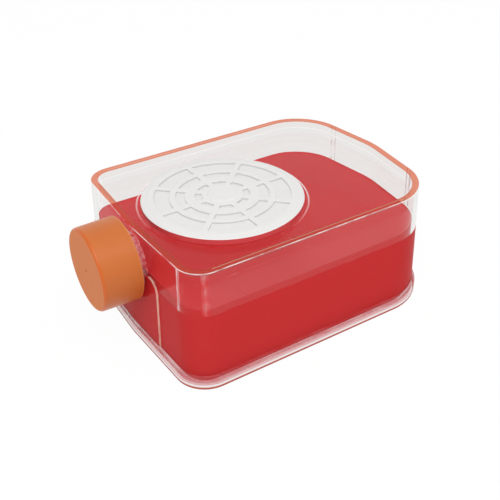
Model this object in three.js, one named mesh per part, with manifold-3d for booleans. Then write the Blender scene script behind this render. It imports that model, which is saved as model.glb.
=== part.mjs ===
// Cell culture flask: a drafted clear box with a recessed top plate and a round vent, a welded
// base tray, a side neck with a screw cap, and a charge of culture medium.
// Millimetres. +Z is up, +X runs from the neck wall to the far wall, and the origin is the
// middle of the flat underside.
import * as THREE from 'three';
import { mergeVertices } from 'three/addons/utils/BufferGeometryUtils.js';
import Module from 'manifold-3d';

const wasm = await Module();
wasm.setup();

// Box outline at the rim. Both end walls are shallow vees that meet on the middle plane.
const LENGTH = 126;
const WIDTH = 101.5;
const HEIGHT = 56.5;
const FAR_BULGE = 6.3;
const NECK_BULGE = 2;
const FAR_CORNER_R = 24.7;
const NECK_CORNER_R = 11;
const RIDGE_R = 40;

// Moulded walls, rim and top plate.
const DRAFT = 1.7;
const WALL = 2.2;
const RIM_T = 3.2;
const RIM_ROUND = 0.4;
const PLATE_DROP = 4.3;
const PLATE_T = 1.8;
const CEILING_FILLET = 1.6;

// Base tray: floor, flange outside the walls, locating rib inside them.
const FLOOR_T = 2.4;
const FLANGE_H = 4.8;
const FLANGE_T = 1.2;
const BASE_CHAMFER = 0.7;
const RIB_T = 1.1;
const RIB_H = 1.6;

// Vent in the top plate.
const VENT_MARGIN = 2.7;
const GRILLE_R = 36.4;
const GRILLE_T = 0.9;
const GRILLE_BEVEL = 3;
const GRILLE_BEVEL_H = 0.8;
const SKIRT_T = 1.7;
const MEMBRANE_T = 0.6;
const SEAT_W = 2.6;
const SEAT_RISE = 1.3;
const COLLAR_CLEAR = 1.4;
const COLLAR_T = 0.9;
const COLLAR_H = 0.9;
const SPOKES = 8;
const SPOKE_W = 2.8;
const WINDOW_RINGS = [[9.4, 12.2], [16.9, 20.9], [23.8, 30.6]];
const HUB_R = 6.8;
const HUB_STEP = 0.4;

// Neck and screw cap.
const BORE_ROOT_R = 10;
const BORE_MOUTH_R = 12.6;
const BORE_HEADROOM = 0.2;
const NECK_WALL = 2;
const NECK_FLARE = 2;
const COLLAR_RING_W = 2.4;
const COLLAR_RING_T = 0.8;
const THREAD_ROOM = 1.55;
const CAP_DRAFT = 0.3;
const CAP_LEN = 17.8;
const CAP_TOP_T = 2.3;
const CAP_WALL = 2.6;
const CAP_EDGE_R = 1.4;
const CAP_STANDOFF = 2.2;
const CAP_ABOVE_RIM = 2.4;
const CAP_DIMPLE_R = 1;
const CAP_DIMPLE_DEPTH = 0.6;
const LINER_T = 0.8;

// Pad moulded on the neck wall under the neck.
const PAD_MARGIN = 5.6;
const PAD_LOW_Z = 7;
const PAD_TOP_DROP = 0.5;
const PAD_CORNER_R = 6;
const PAD_PROUD = 0.9;

// Gas space between the medium and the ceiling, and the clearance between separate pieces.
const HEADSPACE = 13.4;
const GAP = 0.3;

// ---- geometry helpers ----

function toSolid(geometry) {
  const g = geometry.index ? geometry.clone() : mergeVertices(geometry.clone());
  g.deleteAttribute('normal');
  g.deleteAttribute('uv');
  const m = mergeVertices(g, 1e-4);
  const p = m.attributes.position;
  const tris = [];
  let volume = 0;
  for (let i = 0; i < m.index.count; i += 3) {
    const t = [m.index.getX(i), m.index.getX(i + 1), m.index.getX(i + 2)];
    if (t[0] === t[1] || t[1] === t[2] || t[2] === t[0]) continue;
    const [a, b, c] = t.map((k) => new THREE.Vector3().fromBufferAttribute(p, k));
    volume += a.dot(b.cross(c));
    tris.push(t);
  }
  if (volume < 0) tris.forEach((t) => t.reverse());
  return new wasm.Manifold(new wasm.Mesh({
    numProp: 3,
    vertProperties: new Float32Array(p.array),
    triVerts: new Uint32Array(tris.flat()),
  }));
}

function toGeometry(solid) {
  const mesh = solid.getMesh();
  const g = new THREE.BufferGeometry();
  g.setAttribute('position', new THREE.BufferAttribute(new Float32Array(mesh.vertProperties), 3));
  g.setIndex(new THREE.BufferAttribute(new Uint32Array(mesh.triVerts), 1));
  g.computeVertexNormals();
  return g;
}

// Fillet arcs of the box outline, counter-clockwise from the far front corner.
function outlineArcs() {
  const l = LENGTH / 2;
  const w = WIDTH / 2;
  const corners = [
    [l, -w, FAR_CORNER_R, 10], [l + FAR_BULGE, 0, RIDGE_R, 3], [l, w, FAR_CORNER_R, 10],
    [-l, w, NECK_CORNER_R, 8], [-l - NECK_BULGE, 0, RIDGE_R, 2], [-l, -w, NECK_CORNER_R, 8],
  ];
  const at = (i) => new THREE.Vector2(...corners[(i + corners.length) % corners.length]);
  return corners.map(([, , radius, steps], i) => {
    const p = at(i);
    const back = at(i - 1).sub(p).normalize();
    const on = at(i + 1).sub(p).normalize();
    const half = Math.acos(back.dot(on)) / 2;
    const bisector = back.clone().add(on).normalize();
    const centre = p.clone().addScaledVector(bisector, radius / Math.sin(half));
    const middle = bisector.clone().negate().angle();
    const sweep = Math.PI - 2 * half;
    return { centre, radius, steps, start: middle - sweep / 2, sweep };
  });
}
const ARCS = outlineArcs();

// The outline moved outwards by grow, which keeps every fillet's centre.
function outline(grow) {
  const points = [];
  for (const { centre, radius, steps, start, sweep } of ARCS) {
    for (let k = 0; k <= steps; k++) {
      const a = start + (sweep * k) / steps;
      points.push([centre.x + (radius + grow) * Math.cos(a), centre.y + (radius + grow) * Math.sin(a)]);
    }
  }
  return points;
}

// A closed solid through outlines stacked in z: levels are [z, grow] from low to high.
function loft(levels) {
  const rings = levels.map(([z, grow]) => outline(grow).map(([x, y]) => [x, y, z]));
  const n = rings[0].length;
  const position = rings.flat(2);
  const index = [];
  for (let r = 0; r + 1 < rings.length; r++) {
    for (let k = 0; k < n; k++) {
      const a = r * n + k;
      const b = r * n + ((k + 1) % n);
      index.push(a, b, b + n, a, b + n, a + n);
    }
  }
  const low = position.length / 3;
  position.push(0, 0, levels[0][0], 0, 0, levels[levels.length - 1][0]);
  const top = (rings.length - 1) * n;
  for (let k = 0; k < n; k++) {
    const next = (k + 1) % n;
    index.push(low, next, k, low + 1, top + k, top + next);
  }
  const g = new THREE.BufferGeometry();
  g.setAttribute('position', new THREE.Float32BufferAttribute(position, 3));
  g.setIndex(index);
  return toSolid(g);
}

const wallGrow = (z) => (DRAFT * (HEIGHT - z)) / HEIGHT;

// A revolve about +Z at (x, 0): profile points are [radius, z] and start and end on the axis.
function turnedZ(profile, segments, x = 0) {
  const g = new THREE.LatheGeometry(profile.map(([r, z]) => new THREE.Vector2(r, z)), segments);
  g.rotateX(Math.PI / 2);
  g.translate(x, 0, 0);
  return toSolid(g);
}

// A revolve about the neck's axis: profile points are [radius, x].
function turnedX(profile, segments) {
  const g = new THREE.LatheGeometry(profile.map(([r, x]) => new THREE.Vector2(r, x)), segments);
  g.rotateZ(-Math.PI / 2);
  g.translate(0, 0, NECK_Z);
  return toSolid(g);
}

const cylinderZ = (r, z0, z1, segments, x) => turnedZ([[0, z0], [r, z0], [r, z1], [0, z1]], segments, x);

// ---- levels and stations shared by the pieces ----

const PLATE_TOP = HEIGHT - PLATE_DROP;
const PLATE_UNDER = PLATE_TOP - PLATE_T;
const WALL_FOOT = FLOOR_T + GAP;
const MEDIUM_LEVEL = PLATE_UNDER - HEADSPACE;
const NECK_R = BORE_MOUTH_R + NECK_WALL;
const CAP_BORE_R = NECK_R + THREAD_ROOM;
const CAP_R = CAP_BORE_R + CAP_WALL;
const NECK_Z = Math.min(PLATE_UNDER - BORE_HEADROOM - BORE_ROOT_R, HEIGHT + CAP_ABOVE_RIM - CAP_R);
const NECK_WALL_X = -(LENGTH / 2 + NECK_BULGE + wallGrow(NECK_Z));
const CAP_REAR_X = NECK_WALL_X - CAP_STANDOFF;
const CAP_FACE_X = CAP_REAR_X - CAP_LEN;
const CAP_INSIDE_X = CAP_FACE_X + CAP_TOP_T;
const LINER_FRONT_X = CAP_INSIDE_X + GAP;
const LINER_BACK_X = LINER_FRONT_X + LINER_T;
const MOUTH_X = LINER_BACK_X + GAP;
const SEAT_TOP = PLATE_TOP + SEAT_RISE;
const MEMBRANE_LOW = SEAT_TOP + GAP;
const GRILLE_UNDER = MEMBRANE_LOW + MEMBRANE_T + GAP;
const GRILLE_TOP = GRILLE_UNDER + GRILLE_T;
const MEMBRANE_R = GRILLE_R - SKIRT_T - GAP;
const VENT_HOLE_R = MEMBRANE_R - SEAT_W;
const COLLAR_IN_R = GRILLE_R + COLLAR_CLEAR;
const VENT_X = -LENGTH / 2 + RIM_T + VENT_MARGIN + COLLAR_IN_R + COLLAR_T;

// ---- flask body: walls, rim, top plate, vent collar, neck and pad in one moulding ----

function neckOutside() {
  const ringBack = CAP_REAR_X + GAP + COLLAR_RING_T;
  const ringFront = CAP_REAR_X + GAP;
  const ringR = NECK_R + COLLAR_RING_W;
  const root = NECK_WALL_X + WALL / 2;
  return turnedX([
    [0, MOUTH_X], [NECK_R - 0.5, MOUTH_X], [NECK_R, MOUTH_X + 0.5],
    [NECK_R, ringFront], [ringR - 0.3, ringFront], [ringR, ringFront + 0.3],
    [ringR, ringBack], [NECK_R, ringBack + 0.4], [NECK_R, NECK_WALL_X - NECK_FLARE / 2],
    [NECK_R + NECK_FLARE, NECK_WALL_X + 0.2], [NECK_R + NECK_FLARE, root], [0, root],
  ], 56);
}

function neckPad() {
  const s = new THREE.Shape();
  const [w, lo, hi, r] = [CAP_R + PAD_MARGIN, PAD_LOW_Z, NECK_Z - PAD_TOP_DROP, PAD_CORNER_R];
  s.moveTo(-w, lo);
  s.lineTo(w, lo);
  s.lineTo(w, hi - r);
  s.absarc(w - r, hi - r, r, 0, Math.PI / 2);
  s.absarc(-w + r, hi - r, r, Math.PI / 2, Math.PI);
  s.closePath();
  const reach = LENGTH / 4;
  const g = new THREE.ExtrudeGeometry(s, { depth: reach, bevelEnabled: false, curveSegments: 6 });
  g.rotateX(Math.PI / 2);
  g.rotateZ(Math.PI / 2);
  g.translate(-LENGTH / 2 - reach / 2, 0, 0);
  const proud = (z) => [z, wallGrow(z) + PAD_PROUD];
  return toSolid(g).intersect(loft([proud(WALL_FOOT), proud(HEIGHT)]));
}

function wallSolid() {
  const rimShoulder = HEIGHT - RIM_ROUND;
  return loft([
    [WALL_FOOT, wallGrow(WALL_FOOT)],
    [rimShoulder, wallGrow(rimShoulder)],
    [HEIGHT - RIM_ROUND * 0.3, wallGrow(HEIGHT) - RIM_ROUND * 0.3],
    [HEIGHT, wallGrow(HEIGHT) - RIM_ROUND],
  ]);
}

function mediumRoom() {
  const side = (z) => wallGrow(z) - WALL;
  return loft([
    [WALL_FOOT - 1, side(WALL_FOOT)],
    [WALL_FOOT, side(WALL_FOOT)],
    [PLATE_UNDER - CEILING_FILLET, side(PLATE_UNDER)],
    [PLATE_UNDER - CEILING_FILLET * 0.3, side(PLATE_UNDER) - CEILING_FILLET * 0.3],
    [PLATE_UNDER, side(PLATE_UNDER) - CEILING_FILLET],
  ]);
}

function topRecess() {
  return loft([
    [PLATE_TOP, -RIM_T - 1],
    [PLATE_TOP + 0.3, -RIM_T - 0.3],
    [PLATE_TOP + 1, -RIM_T],
    [HEIGHT - RIM_ROUND, -RIM_T],
    [HEIGHT - RIM_ROUND * 0.3, -RIM_T + RIM_ROUND * 0.3],
    [HEIGHT, -RIM_T + RIM_ROUND],
    [HEIGHT + 1, -RIM_T + RIM_ROUND],
  ]);
}

function flaskBody() {
  const boreEnd = NECK_WALL_X + WALL + 2;
  const bore = turnedX([
    [0, MOUTH_X - 1], [BORE_MOUTH_R, MOUTH_X - 1], [BORE_MOUTH_R, MOUTH_X + 1],
    [BORE_ROOT_R, NECK_WALL_X], [BORE_ROOT_R, boreEnd], [0, boreEnd],
  ], 48);
  const out = COLLAR_IN_R + COLLAR_T;
  const collarTop = PLATE_TOP + COLLAR_H;
  const collar = turnedZ([
    [COLLAR_IN_R, PLATE_TOP - 0.5], [out, PLATE_TOP - 0.5], [out, collarTop - 0.3],
    [out - 0.3, collarTop], [COLLAR_IN_R, collarTop], [COLLAR_IN_R, PLATE_TOP - 0.5],
  ], 72, VENT_X);
  const seat = cylinderZ(MEMBRANE_R, PLATE_TOP - 0.5, SEAT_TOP, 64, VENT_X);
  const ventHole = cylinderZ(VENT_HOLE_R, PLATE_UNDER - 1, SEAT_TOP + 1, 64, VENT_X);
  return wallSolid().add(neckOutside()).add(neckPad())
    .subtract(mediumRoom()).subtract(topRecess()).subtract(bore)
    .add(seat).subtract(ventHole).add(collar);
}

// ---- base tray, welded round the foot of the walls ----

function baseTray() {
  const inside = wallGrow(WALL_FOOT) + GAP;
  const outside = inside + FLANGE_T;
  const tray = loft([
    [0, outside - BASE_CHAMFER], [BASE_CHAMFER, outside],
    [FLANGE_H - 0.4, outside], [FLANGE_H, outside - 0.4],
  ]).subtract(loft([[FLOOR_T, inside], [FLANGE_H + 1, inside]]));
  const ribOut = wallGrow(WALL_FOOT + RIB_H) - WALL - GAP;
  const rib = loft([[FLOOR_T - 0.5, ribOut], [FLOOR_T + RIB_H, ribOut]])
    .subtract(loft([[FLOOR_T - 1, ribOut - RIB_T], [FLOOR_T + RIB_H + 1, ribOut - RIB_T]]));
  return tray.add(rib);
}

// ---- vent: grille of arc windows over a membrane disc ----

function arcWindow(inner, outer, turn) {
  const s = new THREE.Shape();
  const span = (r) => Math.PI / SPOKES - Math.asin(SPOKE_W / 2 / r);
  s.absarc(0, 0, outer, turn - span(outer), turn + span(outer), false);
  s.absarc(0, 0, inner, turn + span(inner), turn - span(inner), true);
  s.closePath();
  const g = new THREE.ExtrudeGeometry(s, { depth: GRILLE_T + 2, bevelEnabled: false, curveSegments: 5 });
  g.translate(VENT_X, 0, GRILLE_UNDER - 1);
  return toSolid(g);
}

function ventGrille() {
  const shoulder = GRILLE_TOP - GRILLE_BEVEL_H;
  let grille = turnedZ([
    [0, PLATE_TOP + GAP], [GRILLE_R, PLATE_TOP + GAP], [GRILLE_R, shoulder],
    [GRILLE_R - GRILLE_BEVEL * 0.4, shoulder + GRILLE_BEVEL_H * 0.7],
    [GRILLE_R - GRILLE_BEVEL, GRILLE_TOP],
    [HUB_R, GRILLE_TOP], [HUB_R - 0.3, GRILLE_TOP + HUB_STEP], [0, GRILLE_TOP + HUB_STEP],
  ], 80, VENT_X);
  grille = grille.subtract(cylinderZ(GRILLE_R - SKIRT_T, PLATE_TOP - 1, GRILLE_UNDER, 64, VENT_X));
  for (const [inner, outer] of WINDOW_RINGS) {
    for (let k = 0; k < SPOKES; k++) {
      grille = grille.subtract(arcWindow(inner, outer, ((2 * k + 1) * Math.PI) / SPOKES));
    }
  }
  return grille;
}

const ventMembrane = () => cylinderZ(MEMBRANE_R, MEMBRANE_LOW, MEMBRANE_LOW + MEMBRANE_T, 56, VENT_X);

// ---- screw cap and its liner ----

function screwCap() {
  const front = CAP_R - CAP_DRAFT;
  const e = CAP_EDGE_R;
  const shell = turnedX([
    [0, CAP_FACE_X + CAP_DIMPLE_DEPTH], [CAP_DIMPLE_R, CAP_FACE_X], [front - e, CAP_FACE_X],
    [front - e * 0.5, CAP_FACE_X + e * 0.134], [front - e * 0.134, CAP_FACE_X + e * 0.5],
    [front, CAP_FACE_X + e], [CAP_R, CAP_REAR_X - 0.4], [CAP_R - 0.4, CAP_REAR_X], [0, CAP_REAR_X],
  ], 72);
  const room = turnedX([
    [0, CAP_INSIDE_X], [CAP_BORE_R, CAP_INSIDE_X], [CAP_BORE_R, CAP_REAR_X + 1], [0, CAP_REAR_X + 1],
  ], 56);
  return shell.subtract(room);
}

function capLiner() {
  const r = CAP_BORE_R - GAP - 0.1;
  return turnedX([[0, LINER_FRONT_X], [r, LINER_FRONT_X], [r, LINER_BACK_X], [0, LINER_BACK_X]], 48);
}

// ---- culture medium, lying on the floor inside the locating rib and against the walls ----

function cultureMedium() {
  const ribTop = FLOOR_T + RIB_H;
  const insideRib = wallGrow(ribTop) - WALL - GAP - RIB_T - GAP;
  const side = (z) => wallGrow(z) - WALL - GAP;
  return loft([
    [FLOOR_T + GAP, insideRib], [ribTop + GAP, insideRib],
    [ribTop + GAP + 0.3, side(ribTop + GAP)], [MEDIUM_LEVEL, side(MEDIUM_LEVEL)],
  ]);
}

// ---- scene graph ----

const clearStyrene = { color: 0xf0eeee, roughness: 0.05, metalness: 0, transparent: true, opacity: 0.3 };
const whitePlastic = { color: 0xebeae8, roughness: 0.5, metalness: 0 };
const group = new THREE.Group();

function addPiece(name, solid, look) {
  const mesh = new THREE.Mesh(toGeometry(solid), new THREE.MeshStandardMaterial(look));
  mesh.name = name;
  group.add(mesh);
}

addPiece('flask_body', flaskBody(), clearStyrene);
addPiece('base_tray', baseTray(), { ...clearStyrene, color: 0xf3dcdb });
addPiece('vent_grille', ventGrille(), whitePlastic);
addPiece('vent_membrane', ventMembrane(), { color: 0xf4f4f3, roughness: 0.85, metalness: 0 });
addPiece('screw_cap', screwCap(), { color: 0xcf6b38, roughness: 0.42, metalness: 0 });
addPiece('cap_liner', capLiner(), { color: 0xf2f0ea, roughness: 0.7, metalness: 0 });
addPiece('culture_medium', cultureMedium(), { color: 0xc22f33, roughness: 0.05, metalness: 0 });

export default group;
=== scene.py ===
"""Visual model of a clear cell culture flask, built as an add-on and run as a script."""

import math

import bmesh
import bpy
from mathutils import Matrix, Vector


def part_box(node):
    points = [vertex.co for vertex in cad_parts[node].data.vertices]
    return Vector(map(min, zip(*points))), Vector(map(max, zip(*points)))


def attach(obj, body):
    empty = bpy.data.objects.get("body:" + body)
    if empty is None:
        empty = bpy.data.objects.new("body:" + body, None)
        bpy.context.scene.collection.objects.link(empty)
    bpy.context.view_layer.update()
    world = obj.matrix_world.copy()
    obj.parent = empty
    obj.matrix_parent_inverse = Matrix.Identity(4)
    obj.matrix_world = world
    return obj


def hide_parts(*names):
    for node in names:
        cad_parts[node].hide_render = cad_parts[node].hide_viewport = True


bl_info = {
    "name": "Cell culture flask",
    "version": (1, 0, 0),
    "blender": (4, 5, 0),
    "location": "3D View > Sidebar > Flask",
    "description": "Models a clear flask with a vented top, a screw cap and red medium",
    "category": "Object",
}

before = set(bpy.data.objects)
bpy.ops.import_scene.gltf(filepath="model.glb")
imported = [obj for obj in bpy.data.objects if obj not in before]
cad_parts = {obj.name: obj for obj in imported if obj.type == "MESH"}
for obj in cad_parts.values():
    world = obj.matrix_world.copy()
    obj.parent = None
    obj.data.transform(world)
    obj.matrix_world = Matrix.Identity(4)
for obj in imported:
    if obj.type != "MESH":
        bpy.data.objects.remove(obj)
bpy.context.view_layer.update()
MM = 0.001

GRILLE_LOW, GRILLE_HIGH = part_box("vent_grille")
MEMBRANE_LOW, MEMBRANE_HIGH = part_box("vent_membrane")
CAP_LOW, CAP_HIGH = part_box("screw_cap")
MOUTH_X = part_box("flask_body")[0][0]
MEDIUM_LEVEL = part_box("culture_medium")[1][2]

VENT_CENTRE = ((GRILLE_LOW[0] + GRILLE_HIGH[0]) / 2, 0.0)
GRILLE_R = (GRILLE_HIGH[0] - GRILLE_LOW[0]) / 2
FILM_R = (MEMBRANE_HIGH[0] - MEMBRANE_LOW[0]) / 2
CAP_R = (CAP_HIGH[1] - CAP_LOW[1]) / 2
NECK_Z = (CAP_LOW[2] + CAP_HIGH[2]) / 2

# The pad under the neck: half its width, its foot, and how far it stands proud.
PAD_HALF = CAP_R + 5.6 * MM
PAD_FOOT = 7 * MM
PAD_RISE = 0.9 * MM
# The rim is flat for a way from its outer edge, then has a fine step.
RIM_FLAT = 1.9 * MM
RIM_STEP = 0.5 * MM
PLATE_ROUNDING = 0.9 * MM
# The strip of wall over the flange where the weld is, painted pink with the medium's red light, and
# the foot of the base, painted with a glow.
WELD_HEIGHT = 1.5 * MM
PAINTED_GLOW_HEIGHT = 1.5 * MM
FLANGE_ROUNDING = 0.4 * MM
# Where the neck's root ends and its bare tube begins, and how far the root reaches round it.
ROOT_X = -63 * MM
TUBE_X = -67.6 * MM
ROOT_REACH = 17 * MM
# The pad's edges lie beyond this.
PAD_X = -64 * MM
# The band of the vent ring's rounding, and the reach of the whole vent.
RING_BAND = (37 * MM, 39 * MM)
VENT_REACH = 40 * MM
# Painted highlight lines, upright, where a corner runs into its walls: degrees from, degrees to,
# finish.
NECK_CORNER_PAINTED_LINES = (
    (0.2, 5.2, "rounding"),
    (5.2, 10.4, "soft"),
    (59, 64, "softer"),
    (64, 70, "soft"),
    (70, 74, "softer"),
)
FAR_CORNER_PAINTED_LINES = ((7.5, 10.2, "faint"),)
# The far wall also has a painted upright line at each side, this far from its middle.
FAR_PAINTED_LINE = (26.9 * MM, 27.6 * MM)
THREAD_TURNS = 1.5
THREAD_LEAD = 2.2 * MM
# How far a solid sinks into the one it joins, and how near doubles are to be merged.
SINK = 0.5 * MM
DOUBLES = 0.002 * MM
CREASE = math.radians(25)
CLEAR = (1.0, 1.0, 1.0, 1.0)


# ---- sizes and colours a user would change ----


def size(name, millimetres, description):
    """A length property, written in millimetres and kept in metres."""
    return bpy.props.FloatProperty(
        name=name, description=description, default=millimetres * MM, unit="LENGTH", precision=5
    )


def colour(name, hex_code, description):
    """A colour property whose default is an sRGB hex value."""
    return bpy.props.FloatVectorProperty(
        name=name,
        description=description,
        default=linear(hex_code),
        subtype="COLOR",
        size=4,
        min=0.0,
        max=1.0,
    )


def linear(hex_code):
    """An sRGB hex value as linear RGBA."""
    parts = [int(hex_code[i : i + 2], 16) / 255 for i in (1, 3, 5)]
    lit = [c / 12.92 if c <= 0.04045 else ((c + 0.055) / 1.055) ** 2.4 for c in parts]
    return (*lit, 1.0)


def darker(tone, share):
    """A linear colour with only a share of its brightness."""
    return (*(c * share for c in tone[:3]), 1.0)


class FlaskBoxSizes(bpy.types.PropertyGroup):
    """The moulded box and its welded base."""

    length: size("Length", 126, "Rim length between the corners of the end walls")
    width: size("Width", 101.5, "Rim width")
    height: size("Height", 56.5, "Height of the rim over the bench")
    far_bulge: size("Far bulge", 6.3, "How far the far wall's ridge stands out")
    neck_bulge: size("Neck bulge", 2, "How far the neck wall's ridge stands out")
    far_radius: size("Far corner radius", 24.7, "Radius of the two far corners")
    neck_radius: size("Neck corner radius", 11, "Radius of the two corners beside the neck")
    ridge_radius: size("Ridge radius", 40, "Radius where the two halves of an end wall meet")
    draft: size("Draft", 1.7, "How much the outline grows from the rim to the bench")
    wall: size("Wall", 2.2, "Thickness of the side walls")
    rim: size("Rim", 3.2, "Width of the rim round the top plate")
    plate_drop: size("Plate drop", 4.3, "How far the top plate lies under the rim")
    plate: size("Plate", 1.8, "Thickness of the top plate")
    floor: size("Floor", 2.4, "Thickness of the base's floor")
    flange_height: size("Flange height", 4.8, "Height of the base's flange")
    flange: size("Flange", 1.2, "Thickness of the base's flange")
    gap: size("Gap", 0.3, "Clearance left between separate pieces")


class FlaskVentSizes(bpy.types.PropertyGroup):
    """The vent in the top plate."""

    seat: size("Seat", 2.6, "Width of the ledge under the membrane's edge")
    seat_rise: size("Seat rise", 1.3, "Height of the membrane's ledge over the top plate")
    collar_clear: size("Collar clearance", 1.4, "Gap from the grille to the ring round it")
    collar: size("Collar", 0.9, "Thickness of the ring round the vent")
    collar_height: size("Collar height", 0.9, "Height of the ring over the top plate")
    spoke: size("Spoke", 2.8, "Width of each radial spoke")
    bevel: size("Bevel", 3, "Width of the sloping edge of the grille")
    bevel_height: size("Bevel height", 0.8, "Drop of the grille's sloping edge")
    skirt: size("Skirt", 1.7, "Thickness of the grille's skirt")


class FlaskNeckSizes(bpy.types.PropertyGroup):
    """The neck and its screw cap."""

    bore_root: size("Root bore", 10, "Radius of the neck's bore at the wall")
    bore_mouth: size("Mouth bore", 12.6, "Radius of the neck's bore at the mouth")
    neck_wall: size("Neck wall", 2, "Thickness of the neck at its mouth")
    cap_wall: size("Cap wall", 2.6, "Thickness of the cap's skirt")
    cap_top: size("Cap top", 2.3, "Thickness of the cap's top")
    cap_edge: size("Cap edge", 1.4, "Radius of the cap's front edge")
    pitch: size("Thread pitch", 4, "Travel of the cap in one turn")
    thread: size("Thread height", 1, "Height of the thread's ridge")


class FlaskColours(bpy.types.PropertyGroup):
    """The finishes' main colours."""

    styrene: colour("Polystyrene", "#F5F5F4", "Tint of the clear walls")
    # The rim's tint and light and the base's glow are painted light: they stand in for light
    # carried inside the clear walls and let out at their edges.
    painted_rim_tint: colour("Rim glow", "#EFA488", "Tint of what shows through the rim")
    painted_rim_light: colour("Rim body", "#E2705F", "Light that comes out of the rim")
    painted_base_glow: colour("Base glow", "#B5403F", "Light that comes out of the base's lower edge")
    # The haze is painted light: the flange's milky tone and the pale highlights of the fine
    # roundings.
    painted_light_haze: colour("Haze", "#F3EDEC", "Milky tone of the flange and of the fine roundings")
    white: colour("Grille", "#E4E3E1", "White of the vent grille")
    film: colour("Film", "#E4E3E2", "White of the membrane")
    orange: colour("Cap", "#C96D30", "Orange of the screw cap")
    # The face's paler orange is a painted sheen.
    cap_face_painted_sheen: colour("Cap face", "#D98250", "Paler orange of the cap's blasted face")
    foam: colour("Liner", "#F0EDE6", "Off-white of the cap's liner")
    # The medium's surface red is lighter than its side red: painted light on the top and painted
    # shade on the sides.
    medium: colour("Medium", "#D8363A", "Red of the culture medium's surface")
    depth: colour("Medium depth", "#D22E30", "Red of the culture medium seen from the side")
    backdrop: colour("Backdrop", "#F7F7F7", "Colour of the bench and backdrop")


def box_sizes():
    return bpy.context.scene.flask_box


def vent_sizes():
    return bpy.context.scene.flask_vent


def neck_sizes():
    return bpy.context.scene.flask_neck


def colours():
    return bpy.context.scene.flask_colours


# ---- modelling helpers ----


def clear_selection():
    if bpy.context.object and bpy.context.object.mode != "OBJECT":
        bpy.ops.object.mode_set(mode="OBJECT")
    bpy.ops.object.select_all(action="DESELECT")


def make_active(piece):
    clear_selection()
    piece.select_set(True)
    bpy.context.view_layer.objects.active = piece


def start(name, add, **where):
    """Adds a primitive and leaves it in edit mode, all selected."""
    clear_selection()
    add(**where)
    piece = bpy.context.object
    piece.name = piece.data.name = name
    bpy.ops.object.transform_apply(location=True, rotation=True, scale=True)
    bpy.ops.object.mode_set(mode="EDIT")
    bpy.ops.mesh.select_mode(type="VERT")
    select_all()
    return piece


def select_all():
    bpy.ops.mesh.select_all(action="SELECT")


def pick(kind, test):
    """Selects the vertices, edges or faces of the mesh being edited that pass a test."""
    bpy.ops.mesh.select_mode(type=kind)
    bpy.ops.mesh.select_all(action="DESELECT")
    data = bpy.context.object.data
    mesh = bmesh.from_edit_mesh(data)
    items = {"VERT": mesh.verts, "EDGE": mesh.edges, "FACE": mesh.faces}[kind]
    for item in items:
        if test(item):
            item.select_set(True)
    mesh.select_flush_mode()
    bmesh.update_edit_mesh(data)


def near(a, b, tolerance=0.02 * MM):
    return abs(a - b) < tolerance


def shift(test, vector):
    pick("VERT", lambda v: test(v.co))
    bpy.ops.transform.translate(value=vector)


def extrude(vector):
    bpy.ops.mesh.extrude_region_move(TRANSFORM_OT_translate={"value": vector})


def step_in(width, rise=0.0):
    """Insets the selected face by a width and moves it along its normal."""
    bpy.ops.mesh.inset(thickness=width, depth=rise, use_even_offset=True)


def round_loop(z, radius, segments=4):
    """Rounds the creased edges that lie at a height."""
    pick(
        "EDGE",
        lambda e: all(near(v.co.z, z) for v in e.verts) and e.calc_face_angle(0.0) > CREASE,
    )
    bpy.ops.mesh.bevel(offset=radius, segments=segments, affect="EDGES")


def rounded_block(name, middle, sides, edge, segments):
    """A block whose upper edges along X are rounded, left in edit mode and all selected."""
    block = start(name, bpy.ops.mesh.primitive_cube_add, size=1, location=middle, scale=sides)
    top = middle[2] + sides[2] / 2
    pick(
        "EDGE",
        lambda e: all(near(v.co.z, top) for v in e.verts)
        and near(e.verts[0].co.y, e.verts[1].co.y),
    )
    bpy.ops.mesh.bevel(offset=edge, segments=segments, affect="EDGES")
    select_all()
    return block


def tidy_mesh():
    """Merges doubles, turns normals outwards and leaves edit mode."""
    select_all()
    bpy.ops.mesh.remove_doubles(threshold=DOUBLES)
    bpy.ops.mesh.normals_make_consistent(inside=False)
    bpy.ops.object.mode_set(mode="OBJECT")


def clean_joins():
    """Clears the slivers that are left where joined solids share a plane."""
    bpy.ops.object.mode_set(mode="EDIT")
    tidy_mesh()


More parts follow.
